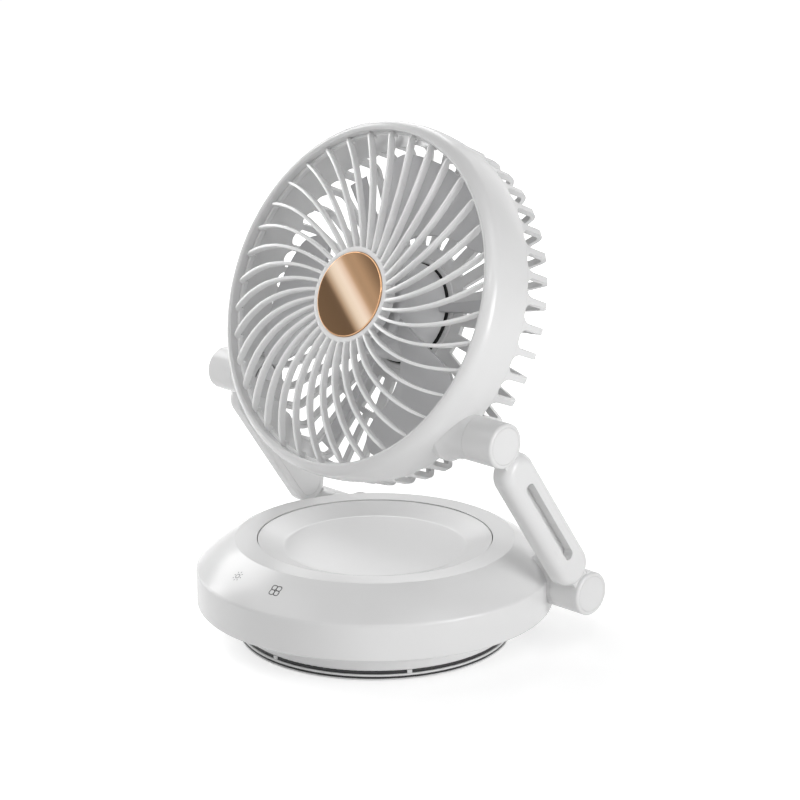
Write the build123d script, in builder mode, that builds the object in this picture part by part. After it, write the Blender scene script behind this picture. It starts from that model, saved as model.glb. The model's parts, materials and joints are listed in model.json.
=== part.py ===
from build123d import *
import math
import os

# Round base: radii, and heights above the table
base_radius = 80.0
base_height = 45.0
rim_height = 32.3
plateau_radius = base_radius - 17.4
slope_bulge = 0.9
crease_round = 2.0
skirt_round = 1.2
shell_bottom = 15.9
wall = 2.2

# Dished panel let in to the top of the base
panel_radius = plateau_radius - 10.1
panel_seam = 0.35
dish_radius = panel_radius - 11.5
dish_depth = 4.3
dish_round = 4.0
panel_edge_drop = 0.4
ledge_depth = 4.0
panel_wall = 2.1

# Foot under the base, from the table upwards
foot_radius = base_radius - 19.0
foot_core_radius = foot_radius - 3.0
foot_gap = 0.3
lower_flange = 0.6
lower_band = 1.0
upper_flange = 0.9
upper_band = 1.5
band_depth = 1.5
bridge_count = 6
foot_circle = foot_radius - 17.0
pan_floor = 10.0
pan_thickness = 3.0
pad_radius = 6.0

# Head: tilt at rest, radii, and the pivot seen from the centre of the front lip
head_tilt = 21.9
rim_radius = 79.4
lip_radius = rim_radius - 5.5
rim_bore = rim_radius - 4.4
rim_depth = 24.5
head_depth = 41.5
cage_radius = rim_radius - 1.8
cage_corner = 4.5
cage_wall = 2.4
boss_flare = 12.5
pivot_drop = 0.57 * rim_radius
pivot_setback = 21.6

# Pivots: bolts across the fan at the foot and the head of each arm
lower_y = 0.57 * base_radius
lower_z = 28.8
arm_length = 97.5
arm_lean = 35.3
barrel_radius = 9.75
bolt_radius = 4.0
bolt_head_radius = 6.5
bolt_head_height = 2.4
nut_radius = 7.0
nut_height = 3.8
washer_thickness = 0.5
cap_radius = 8.0
cap_thickness = 1.7

# Arms, just clear of the base and of the head
arm_clear = 0.2
slab_thickness = 9.1
slab_inner = max(base_radius, rim_radius) + arm_clear
arm_face = slab_inner + slab_thickness
boss_face = slab_inner - 7.2
slab_half_width = 9.3
slab_inset = 18.6
slab_round = 4.5
barrel_round = 1.2
neck_width = 9.0
groove_length = 48.0
groove_width = 4.8
groove_depth = 5.0
groove_round = 0.6
cover_thickness = 1.5

# Grilles
rib_count = 36
rib_width = 1.1
rib_depth = 3.0
hub_ring_radius = 21.2
badge_radius = 18.8
cage_slots = 44
cage_rib = 2.8
cage_ring_outer = 0.644 * cage_radius
cage_ring_inner = cage_ring_outer - 2.5
inner_slots = 22
inner_rib = 5.2
inner_slot_start = 0.4 * cage_radius

# Impeller and motor
blade_count = 3
blade_tip = rim_radius - 12.9
blade_thickness = 1.6
blade_lead = -20.0
blade_sweep = 102.0
blade_skew = 11.0
blade_front = -11.8
blade_back = -32.2
impeller_hub_radius = 22.5
impeller_front = -9.0
impeller_back = -36.6
mount_front = -38.0
mount_radius = 25.4
mount_wall = 2.2
stator_radius = 16.8
shaft_radius = 1.5
bearing_radius = 4.0
bearing_width = 3.0

# Clearances
running_fit = 0.05
close_fit = 0.1
loose_fit = 0.3

# Places worked out from the sizes above
lean = math.radians(arm_lean)
upper_y = lower_y - arm_length * math.sin(lean)
upper_z = lower_z + arm_length * math.cos(lean)
tilt = math.radians(head_tilt)
head_up = Vector(0, math.sin(tilt), math.cos(tilt))
head_facing = Vector(0, -math.cos(tilt), math.sin(tilt))
head_centre = Vector(0, upper_y, upper_z) + head_up * pivot_drop + head_facing * pivot_setback
head_plane = Plane(origin=head_centre, x_dir=(1, 0, 0), z_dir=head_facing)
head_profile = Plane(origin=head_centre, x_dir=(1, 0, 0), z_dir=-head_up)
head_axis = Axis(head_centre, head_facing)
sides = {"left": -1, "right": 1}

# Nut ends of the bolts: inside the base, and inside the head rim
boss_sink = 11.7
lower_boss_root = math.sqrt(base_radius**2 - lower_y**2) - boss_sink
upper_boss_root = math.sqrt(rim_bore**2 - pivot_drop**2) - loose_fit
pivots = {
    "lower": (lower_y, lower_z, lower_boss_root),
    "upper": (upper_y, upper_z, upper_boss_root),
}
flare_end = boss_face - 4.0
flare_length = 9.0


def turn(points, plane, axis, mode=Mode.ADD):
    """Turn a closed outline of (radius, height) points about an axis."""
    with BuildSketch(plane) as outline:
        with BuildLine():
            Polyline(*points, close=True)
        make_face()
    revolve(outline.sketch.faces(), axis=axis, mode=mode)


def across(side, x, y, z):
    """Plane across the fan at distance x, facing outwards on the given side."""
    return Plane(origin=(side * x, y, z), x_dir=(0, 1, 0), z_dir=(side, 0, 0))


def along_arm(side, x):
    """Plane on an arm, its origin at the upper pivot and its x axis running down to the lower one."""
    down = (0, math.sin(lean), -math.cos(lean))
    return Plane(origin=(side * x, upper_y, upper_z), x_dir=down, z_dir=(side, 0, 0))


def turn_flare(side, pivot, root, extra, mode):
    """Turn the flared outline of a pivot boss, made larger by extra, about its pivot."""
    y, z, nut_end = pivot
    wide = boss_flare + extra
    narrow = barrel_radius + extra
    flare_start = flare_end - flare_length
    with BuildSketch(Plane(origin=(0, y, z), x_dir=(side, 0, 0), z_dir=(0, 1, 0))) as outline:
        with BuildLine():
            Polyline((root, 0), (root, wide), (flare_start, wide))
            TangentArc((flare_end, narrow), (flare_start, wide), tangent=(-1, 0))
            Polyline((flare_end, narrow), (boss_face, narrow), (boss_face, 0), (root, 0))
        make_face()
    revolve(outline.sketch.faces(), axis=Axis((0, y, z), (side, 0, 0)), mode=mode)


def slope_under(radius):
    """Height of the inside of the sloped shoulder at a radius."""
    fall = (base_height - rim_height) / (base_radius - plateau_radius)
    return rim_height + (base_radius - radius) * fall - wall * math.hypot(1, fall)


def keep(name, builder):
    """Label a finished piece and write it out."""
    builder.part.label = name
    export_step(builder.part, f"parts/{name}.step")


os.makedirs("parts", exist_ok=True)

# Base shell, turned in one outline, with the pivot bosses and the screw posts
panel_bore = panel_radius + panel_seam
ledge_top = base_height - ledge_depth
ledge_bore = panel_radius - wall
pan_radius = base_radius - 12.4
inside_radius = base_radius - wall
inner_plateau = base_height - wall
fall = (base_height - rim_height) / (base_radius - plateau_radius)
inner_slope_top = base_radius - (inner_plateau - slope_under(base_radius)) / fall
slope_middle = (
    (plateau_radius + base_radius) / 2 + slope_bulge * 0.6,
    (base_height + rim_height) / 2 + slope_bulge * 0.8,
)
screw_circle = pan_radius - 3.4
screw_radius = 1.5
screw_head_radius = 2.7
screw_head_height = 1.6
screw_length = 12.0
post_radius = 3.4
flange_top = shell_bottom + pan_thickness
pan_top = pan_floor + pan_thickness
usb_width = 9.0
usb_height = 3.2
board_top = 22.2
with BuildPart() as base_shell:
    with BuildSketch(Plane.XZ) as section:
        with BuildLine():
            Line((panel_bore, base_height), (plateau_radius, base_height))
            ThreePointArc((plateau_radius, base_height), slope_middle, (base_radius, rim_height))
            Polyline(
                (base_radius, rim_height),
                (base_radius, shell_bottom),
                (pan_radius, shell_bottom),
                (pan_radius, shell_bottom + wall),
                (inside_radius, shell_bottom + wall),
                (inside_radius, slope_under(inside_radius)),
                (inner_slope_top, inner_plateau),
                (panel_bore + wall, inner_plateau),
                (panel_bore + wall, ledge_top - wall),
                (ledge_bore, ledge_top - wall),
                (ledge_bore, ledge_top),
                (panel_bore, ledge_top),
                (panel_bore, base_height),
            )
        make_face()
        fillet(section.vertices().sort_by_distance((base_radius, rim_height))[0], crease_round)
        fillet(section.vertices().sort_by_distance((base_radius, shell_bottom))[0], skirt_round)
    revolve(axis=Axis.Z)
    with BuildSketch(Plane.XY.offset(flange_top)):
        with PolarLocations(screw_circle, 4, start_angle=45):
            Circle(post_radius)
    extrude(amount=slope_under(screw_circle) - flange_top)
    for side in sides.values():
        with BuildSketch(across(side, lower_boss_root, lower_y, lower_z)):
            Circle(barrel_radius)
        extrude(amount=boss_face - lower_boss_root)
        turn_flare(side, pivots["lower"], lower_boss_root + 5, 0, Mode.ADD)
    for side in sides.values():
        with BuildSketch(across(side, lower_boss_root, lower_y, lower_z)):
            Circle(bolt_radius + running_fit)
        extrude(amount=boss_face - lower_boss_root, mode=Mode.SUBTRACT)
        with BuildSketch(across(side, lower_boss_root, lower_y, lower_z)):
            Circle(nut_radius + close_fit)
        extrude(amount=nut_height, mode=Mode.SUBTRACT)
        with BuildSketch(across(side, boss_face, lower_y, lower_z)):
            Circle(bolt_head_radius + close_fit)
        extrude(amount=-washer_thickness, mode=Mode.SUBTRACT)
    with BuildSketch(Plane.XY.offset(flange_top)):
        with PolarLocations(screw_circle, 4, start_angle=45):
            Circle(screw_radius + running_fit)
    extrude(amount=screw_length, mode=Mode.SUBTRACT)
    with BuildSketch(Plane.XZ.offset(-base_radius - wall)):
        with Locations((0, board_top + usb_height / 2)):
            RectangleRounded(usb_width + 2 * loose_fit, usb_height + 2 * loose_fit, usb_height / 2)
    extrude(amount=4 * wall, mode=Mode.SUBTRACT)
keep("base_shell", base_shell)

# Dished panel: a shallow cone down to a flat floor, resting on the shell's ledge
dish_floor = base_height - dish_depth
panel_edge = base_height - panel_edge_drop
board_gap = 2.2
board_thickness = 1.6
light_post_circle = dish_radius - 11.0
with BuildPart() as dish_panel:
    with BuildSketch(Plane.XZ) as section:
        with BuildLine():
            Polyline(
                (0, dish_floor),
                (dish_radius, dish_floor),
                (panel_radius, panel_edge),
                (panel_radius, ledge_top),
                (ledge_bore - close_fit, ledge_top),
                (dish_radius + panel_wall, dish_floor - panel_wall),
                (0, dish_floor - panel_wall),
                close=True,
            )
        make_face()
        fillet(section.vertices().sort_by_distance((dish_radius, dish_floor))[0], dish_round)
    revolve(axis=Axis.Z)
    with BuildSketch(Plane.XY.offset(dish_floor - panel_wall)):
        with PolarLocations(light_post_circle, 3):
            Circle(2.5)
    extrude(amount=-board_gap)
keep("dish_panel", dish_panel)

# Light ring under the panel: a disc board and eight chips
light_board_top = dish_floor - panel_wall - board_gap
chip_height = 0.8
with BuildPart() as light_board:
    with BuildSketch(Plane.XY.offset(light_board_top)):
        Circle(light_post_circle + 6)
        Circle(8, mode=Mode.SUBTRACT)
    extrude(amount=-board_thickness)
keep("light_board", light_board)

with BuildPart() as light_chips:
    with BuildSketch(Plane.XY.offset(light_board_top)):
        with PolarLocations(light_post_circle + 3, 8, start_angle=22.5):
            Rectangle(3, 3)
    extrude(amount=chip_height)
keep("light_chips", light_chips)

# Touch board: a thin strip bonded under the front of the sloped shoulder
touch_start = base_radius - 12.8
touch_end = base_radius - 4.4
touch_arc = 52.0
touch_azimuth = 230.0
touch_thickness = 0.9
touch_turn = math.radians(touch_azimuth)
touch_plane = Plane(
    origin=(0, 0, 0),
    x_dir=(math.cos(touch_turn), math.sin(touch_turn), 0),
    z_dir=(math.sin(touch_turn), -math.cos(touch_turn), 0),
)
with BuildPart() as touch_board:
    with BuildSketch(touch_plane):
        with BuildLine():
            Polyline(
                (touch_start, slope_under(touch_start)),
                (touch_end, slope_under(touch_end)),
                (touch_end, slope_under(touch_end) - touch_thickness),
                (touch_start, slope_under(touch_start) - touch_thickness),
                close=True,
            )
        make_face()
    revolve(axis=Axis.Z, revolution_arc=touch_arc)
keep("touch_board", touch_board)

# Base pan: closes the shell from below and carries the board, the tray and the foot
foot_top = foot_gap + lower_flange + lower_band + upper_flange + upper_band
drum_bore = foot_core_radius + loose_fit
board_post_radius = 2.4
board_rear = base_radius - 8.0
board_front = board_rear - 29.0
board_post_places = [(x, y) for x in (-16, 16) for y in (board_front + 4, board_front + 10)]
with BuildPart() as base_pan:
    with BuildSketch(Plane.XZ) as section:
        with BuildLine():
            Polyline(
                (0, pan_floor),
                (drum_bore, pan_floor),
                (drum_bore, foot_top),
                (foot_radius, foot_top),
                (foot_radius, shell_bottom),
                (pan_radius - close_fit, shell_bottom),
                (pan_radius - close_fit, flange_top),
                (drum_bore, flange_top),
                (drum_bore, pan_top),
                (0, pan_top),
                close=True,
            )
        make_face()
        fillet(section.vertices().sort_by_distance((foot_radius, foot_top))[0], 0.8)
    revolve(axis=Axis.Z)
    with BuildSketch(Plane.XY.offset(pan_top)):
        with Locations(*board_post_places):
            Circle(board_post_radius)
    extrude(amount=board_top - board_thickness - pan_top)
    with BuildSketch(Plane.XY.offset(shell_bottom)):
        with PolarLocations(screw_circle, 4, start_angle=45):
            Circle(screw_radius + close_fit)
    extrude(amount=pan_thickness, mode=Mode.SUBTRACT)
    with BuildSketch(Plane.XY.offset(shell_bottom)):
        with PolarLocations(screw_circle, 4, start_angle=45):
            Circle(screw_head_radius + close_fit)
    extrude(amount=screw_head_height, mode=Mode.SUBTRACT)
keep("base_pan", base_pan)

with BuildPart() as base_screws:
    with BuildSketch(Plane.XY.offset(shell_bottom)):
        with PolarLocations(screw_circle, 4, start_angle=45):
            Circle(screw_head_radius)
    extrude(amount=screw_head_height)
    with BuildSketch(Plane.XY.offset(shell_bottom)):
        with PolarLocations(screw_circle, 4, start_angle=45):
            Circle(screw_radius)
    extrude(amount=screw_length)
keep("base_screws", base_screws)

# Foot plate: two flanges with black bands between them, and six bridges up to the pan
band_low = foot_gap + lower_flange
flange_low = band_low + lower_band
flange_high = flange_low + upper_flange
foot_floor = 2.0
foot_wall = 2.5
spigot_top = foot_top + 2.0
pad_depth = 1.0
with BuildPart() as foot_plate:
    turn(
        [
            (0, foot_gap),
            (foot_radius, foot_gap),
            (foot_radius, band_low),
            (foot_core_radius, band_low),
            (foot_core_radius, flange_low),
            (foot_radius, flange_low),
            (foot_radius, flange_high),
            (foot_core_radius, flange_high),
            (foot_core_radius, spigot_top),
            (foot_core_radius - foot_wall, spigot_top),
            (foot_core_radius - foot_wall, foot_gap + foot_floor),
            (0, foot_gap + foot_floor),
        ],
        Plane.XZ,
        Axis.Z,
    )
    with BuildSketch(Plane.XY.offset(flange_high)):
        with PolarLocations(foot_radius - 0.85, bridge_count, start_angle=30):
            Rectangle(1.3, 2.2)
    extrude(amount=upper_band)
    with BuildSketch(Plane.XY.offset(foot_gap)):
        with PolarLocations(foot_circle, 4, start_angle=45):
            Circle(pad_radius + close_fit)
    extrude(amount=pad_depth, mode=Mode.SUBTRACT)
keep("foot_plate", foot_plate)

with BuildPart() as foot_bands:
    with BuildSketch(Plane.XY.offset(band_low)):
        Circle(foot_core_radius + band_depth)
        Circle(foot_core_radius + running_fit, mode=Mode.SUBTRACT)
    extrude(amount=lower_band)
    with BuildSketch(Plane.XY.offset(flange_high)):
        Circle(foot_core_radius + band_depth)
        Circle(foot_core_radius + running_fit, mode=Mode.SUBTRACT)
    extrude(amount=upper_band)
keep("foot_bands", foot_bands)

with BuildPart() as rubber_feet:
    with BuildSketch(Plane.XY):
        with PolarLocations(foot_circle, 4, start_angle=45):
            Circle(pad_radius)
    extrude(amount=foot_gap + pad_depth)
keep("rubber_feet", rubber_feet)

# Battery: two cells lying across the base in a tray
cell_radius = 9.2
cell_length = 65.0
cell_spacing = 19.4
tray_floor = 2.0
tray_wall = 2.0
tray_length = cell_length + 2 * loose_fit
with BuildPart() as battery_tray:
    with BuildSketch(Plane.XY.offset(pan_top)):
        Rectangle(tray_length + 2 * tray_wall, 2 * cell_spacing)
    extrude(amount=tray_floor)
    with BuildSketch(Plane.XY.offset(pan_top)):
        with Locations(((tray_length + tray_wall) / 2, 0), (-(tray_length + tray_wall) / 2, 0)):
            Rectangle(tray_wall, 2 * cell_spacing)
    extrude(amount=tray_floor + cell_radius)
keep("battery_tray", battery_tray)

with BuildPart() as battery_cells:
    with BuildSketch(Plane.YZ.offset(-cell_length / 2)):
        for row in (-0.5, 0.5):
            with Locations((row * cell_spacing, pan_top + tray_floor + cell_radius)):
                Circle(cell_radius)
    extrude(amount=cell_length)
keep("battery_cells", battery_cells)

# Main board on the pan's posts, with the charging socket at its rear edge
board_width = 40.0
socket_length = 8.4
with BuildPart() as main_board:
    with BuildSketch(Plane.XY.offset(board_top)):
        with Locations((0, (board_front + board_rear) / 2)):
            Rectangle(board_width, board_rear - board_front)
    extrude(amount=-board_thickness)
keep("main_board", main_board)

with BuildPart() as usb_socket:
    with BuildSketch(Plane.XZ.offset(-base_radius + 0.8)):
        with Locations((0, board_top + usb_height / 2)):
            RectangleRounded(usb_width, usb_height, usb_height / 2 - 0.01)
            RectangleRounded(usb_width - 0.8, usb_height - 0.8, usb_height / 2 - 0.41, mode=Mode.SUBTRACT)
            Rectangle(usb_width - 2.6, 0.7)
    extrude(amount=socket_length)
    with BuildSketch(Plane.XZ.offset(-base_radius + 0.8 + socket_length)):
        with Locations((0, board_top + usb_height / 2)):
            RectangleRounded(usb_width, usb_height, usb_height / 2 - 0.01)
    extrude(amount=-1.0)
keep("usb_socket", usb_socket)

# Pivot hardware: a shouldered bolt, a nut and two friction washers at each of the four pivots
seat = boss_face + close_fit
counterbore = arm_face - 6.3
head_seat = counterbore + washer_thickness + close_fit
for level, (y, z, root) in pivots.items():
    for hand, side in sides.items():
        with BuildPart() as bolt:
            with BuildSketch(across(side, root, y, z)):
                Circle(bolt_radius)
            extrude(amount=head_seat + bolt_head_height - root)
            with BuildSketch(across(side, head_seat, y, z)):
                Circle(bolt_head_radius)
            extrude(amount=bolt_head_height)
        keep(f"{level}_{hand}_bolt", bolt)

    with BuildPart() as nuts:
        for side in sides.values():
            with BuildSketch(across(side, root, y, z)):
                RegularPolygon(nut_radius, 6)
                Circle(bolt_radius + running_fit, mode=Mode.SUBTRACT)
            extrude(amount=nut_height - close_fit)
    keep(f"{level}_nuts", nuts)

    with BuildPart() as washers:
        for side in sides.values():
            for face in (boss_face - washer_thickness, counterbore + running_fit):
                with BuildSketch(across(side, face, y, z)):
                    Circle(bolt_head_radius)
                    Circle(bolt_radius + running_fit, mode=Mode.SUBTRACT)
                extrude(amount=washer_thickness)
    keep(f"{level}_washers", washers)

# Arms: a stadium slab between two barrels, hollowed for the wire and closed by a cover plate
slab_span = arm_length - 2 * slab_inset
cap_seat = arm_face - cap_thickness
neck_inner = slab_inner + 0.8
neck_outer = arm_face - 2.0
neck = slab_inset - slab_half_width + 4.0
cover_half_width = slab_half_width - 3.0
channel_half_width = 4.4
channel_depth = 1.2
for hand, side in sides.items():
    outer_end = -1 if side > 0 else 0
    inner_end = 0 if side > 0 else -1
    with BuildPart() as arm:
        with BuildSketch(along_arm(side, slab_inner)):
            with Locations((arm_length / 2, 0)):
                SlotCenterToCenter(slab_span, 2 * slab_half_width)
        extrude(amount=arm_face - slab_inner)
        fillet(arm.faces().filter_by(Axis.X).sort_by(Axis.X)[outer_end].edges(), slab_round)
        fillet(arm.faces().filter_by(Axis.X).sort_by(Axis.X)[inner_end].edges(), 1.2)
        with BuildSketch(along_arm(side, neck_inner)):
            with Locations((neck / 2, 0), (arm_length - neck / 2, 0)):
                Rectangle(neck, neck_width)
        extrude(amount=neck_outer - neck_inner)
        with BuildSketch(along_arm(side, arm_face)):
            with Locations((arm_length / 2, 0)):
                SlotOverall(groove_length, groove_width)
        extrude(amount=-groove_depth, mode=Mode.SUBTRACT)
        with BuildSketch(along_arm(side, slab_inner)):
            with Locations((arm_length / 2, 0)):
                SlotCenterToCenter(slab_span, 2 * cover_half_width)
        extrude(amount=cover_thickness, mode=Mode.SUBTRACT)
        with BuildSketch(along_arm(side, slab_inner)):
            with Locations((arm_length / 2, 0)):
                SlotCenterToCenter(slab_span, 2 * channel_half_width)
        extrude(amount=cover_thickness + channel_depth, mode=Mode.SUBTRACT)
        with BuildSketch(along_arm(side, seat)):
            with Locations((0, 0), (arm_length, 0)):
                Circle(barrel_radius)
        extrude(amount=arm_face - seat)
        rims = arm.edges().filter_by(GeomType.CIRCLE).filter_by(lambda edge: edge.radius == barrel_radius)
        fillet(rims.group_by(SortBy.LENGTH)[-1].group_by(Axis.X)[outer_end], barrel_round)
        with BuildSketch(along_arm(side, seat)):
            with Locations((0, 0), (arm_length, 0)):
                Circle(bolt_radius + running_fit)
        extrude(amount=arm_face - seat, mode=Mode.SUBTRACT)
        with BuildSketch(along_arm(side, counterbore)):
            with Locations((0, 0), (arm_length, 0)):
                Circle(bolt_head_radius + loose_fit)
        extrude(amount=arm_face - counterbore, mode=Mode.SUBTRACT)
        with BuildSketch(along_arm(side, cap_seat)):
            with Locations((0, 0), (arm_length, 0)):
                Circle(cap_radius)
        extrude(amount=cap_thickness, mode=Mode.SUBTRACT)
    keep(f"{hand}_arm", arm)

    with BuildPart() as cover:
        with BuildSketch(along_arm(side, slab_inner)):
            with Locations((arm_length / 2, 0)):
                SlotCenterToCenter(slab_span, 2 * (cover_half_width - close_fit))
        extrude(amount=cover_thickness)
    keep(f"{hand}_arm_cover", cover)

    with BuildPart() as caps:
        with BuildSketch(along_arm(side, cap_seat)):
            with Locations((0, 0), (arm_length, 0)):
                Circle(cap_radius - running_fit)
        extrude(amount=cap_thickness)
    keep(f"{hand}_caps", caps)

# Head rim: a plain band with a thin rounded lip, and a flared boss on each side
lip_depth = 4.5
flare_root = upper_boss_root - 2.5
with BuildPart() as head_rim:
    with BuildSketch(head_profile):
        with BuildLine():
            Line((lip_radius, -lip_depth), (lip_radius, -0.6))
            Line((lip_radius, -0.6), (lip_radius + 0.7, 0))
            Line((lip_radius + 0.7, 0), (lip_radius + 1.5, 0))
            ThreePointArc((lip_radius + 1.5, 0), (rim_radius - 1.4, -2.4), (rim_radius - 0.4, -5.6))
            ThreePointArc((rim_radius - 0.4, -5.6), (rim_radius, -12.0), (rim_radius - 1.2, -rim_depth))
            Polyline(
                (rim_radius - 1.2, -rim_depth),
                (rim_bore, -rim_depth),
                (rim_bore, -lip_depth),
                (lip_radius, -lip_depth),
            )
        make_face()
    revolve(axis=head_axis)
    for side in sides.values():
        turn_flare(side, pivots["upper"], flare_root, 0, Mode.ADD)
    with BuildSketch(head_plane.offset(-head_depth)):
        Circle(rim_bore)
    extrude(amount=head_depth - lip_depth, mode=Mode.SUBTRACT)
    for side in sides.values():
        with BuildSketch(across(side, upper_boss_root, upper_y, upper_z)):
            Circle(barrel_radius)
        extrude(amount=boss_face - upper_boss_root)
    for side in sides.values():
        with BuildSketch(across(side, upper_boss_root, upper_y, upper_z)):
            Circle(bolt_radius + running_fit)
        extrude(amount=boss_face - upper_boss_root, mode=Mode.SUBTRACT)
        with BuildSketch(across(side, upper_boss_root, upper_y, upper_z)):
            Circle(nut_radius + close_fit)
        extrude(amount=nut_height, mode=Mode.SUBTRACT)
        with BuildSketch(across(side, boss_face, upper_y, upper_z)):
            Circle(bolt_head_radius + close_fit)
        extrude(amount=-washer_thickness, mode=Mode.SUBTRACT)
keep("head_rim", head_rim)

# Front grille: a hub cup, swirl ribs that bow forwards, and an outer ring held behind the lip
hub_ring_front = 1.2
hub_cup_back = -5.0
hub_cup_wall = 2.0
badge_seat = 0.0
ring_back = -7.0
ring_flange = 2.4
rib_start = hub_ring_radius + 0.8
rib_end = lip_radius - 0.9
rib_middle = (rib_start + rib_end) / 2
rib_foot = -lip_depth - 1.0
dome = [(rib_start, 1.4), (rib_middle, 3.85), (rib_end, -1.5)]
swirl = [(rib_start, 16.9), (rib_middle, 6.9), (rib_end, -4.4)]
swirl_points = [
    (radius * math.sin(math.radians(angle)), radius * math.cos(math.radians(angle)))
    for radius, angle in swirl
]
with BuildPart() as rib:
    with BuildSketch(Plane.XY.offset(-2 * rib_depth)):
        with BuildLine():
            swirl_line = ThreePointArc(*swirl_points)
            Line(swirl_line @ 0, swirl_line @ 0 - swirl_line % 0 * 1.6)
        trace(line_width=rib_width)
    extrude(amount=4 * rib_depth)
    with BuildSketch(Plane.XZ):
        with BuildLine():
            front = ThreePointArc(*dome)
            back = ThreePointArc(*[(radius, height - rib_depth) for radius, height in dome])
            Polyline(front @ 1, (rim_bore, -2.2), (rim_bore, rib_foot), (rib_end - 0.2, rib_foot), back @ 1)
            Polyline(front @ 0, (rib_start - 2, 0.9), (rib_start - 2, 0.9 - rib_depth), back @ 0)
        make_face()
    revolve(axis=Axis.Z, mode=Mode.INTERSECT)
    with BuildSketch(Plane.XY.offset(-4 * rib_depth)):
        Circle(lip_radius - 0.7)
    extrude(amount=8 * rib_depth, mode=Mode.INTERSECT)

with BuildPart(head_plane) as front_grille:
    turn(
        [
            (badge_radius + close_fit, hub_ring_front),
            (hub_ring_radius, hub_ring_front),
            (hub_ring_radius, hub_cup_back),
            (hub_ring_radius - hub_cup_wall, hub_cup_back),
            (hub_ring_radius - hub_cup_wall, badge_seat - hub_cup_wall),
            (0, badge_seat - hub_cup_wall),
            (0, badge_seat),
            (badge_radius + close_fit, badge_seat),
        ],
        head_profile,
        head_axis,
    )
    turn(
        [
            (lip_radius - 1.2, -lip_depth - close_fit),
            (rim_bore - 0.2, -lip_depth - close_fit),
            (rim_bore - 0.2, ring_back),
            (lip_radius - 1.2, ring_back),
        ],
        head_profile,
        head_axis,
    )
    with PolarLocations(0, rib_count):
        add(rib.part)
keep("front_grille", front_grille)

# Hub badge: a plain polished disc in the hub ring
badge_front = 1.6
with BuildPart() as hub_badge:
    with BuildSketch(head_plane.offset(badge_seat)):
        Circle(badge_radius)
    extrude(amount=badge_front - badge_seat)
    fillet(hub_badge.edges().filter_by(GeomType.CIRCLE).sort_by(Axis.Y)[0], 0.5)
keep("hub_badge", hub_badge)

# Rear grille: a sleeve inside the rim, a rounded cage with radial slots, and the motor cup
sleeve_bore = rim_bore - 2.2
cage_floor = head_depth - cage_wall
corner_start = head_depth - cage_corner
shoulder = -rim_depth - close_fit
slot_front = rim_depth
slot_end = cage_radius + 3.0
slot_pitch = 360 / cage_slots
inner_pitch = 360 / inner_slots
boss_angle = math.degrees(math.atan2(upper_boss_root + 5, -pivot_drop))
boss_clear = 1.0
slot_half = math.radians(slot_pitch / 2)
inner_half = math.radians(inner_pitch / 2)


def wedge(start, end, half_angle, rib_between):
    """Corners of a radial slot that leaves a rib of even width to each side."""
    near = start * math.tan(half_angle) - rib_between / 2
    far = end * math.tan(half_angle) - rib_between / 2
    return [(-near, start), (near, start), (far, end), (-far, end)]


slot_round = cage_radius * math.tan(slot_half) - cage_rib / 2
with BuildPart() as cage_slot:
    with BuildSketch(Plane.XY.offset(-head_depth - 1)):
        with BuildLine():
            Polyline(*wedge(cage_ring_outer, slot_end, slot_half, cage_rib), close=True)
        make_face()
    extrude(amount=head_depth + 1 - slot_front - slot_round)
    with BuildSketch(Plane.XZ.offset(-slot_end)):
        with Locations((0, -slot_front - slot_round)):
            Circle(slot_round)
    extrude(amount=slot_end - sleeve_bore + 2)

with BuildPart() as inner_slot:
    with BuildSketch(Plane.XY.offset(-head_depth - 1)):
        with BuildLine():
            Polyline(*wedge(inner_slot_start, cage_ring_inner, inner_half, inner_rib), close=True)
        make_face()
    extrude(amount=cage_wall + 2)

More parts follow.
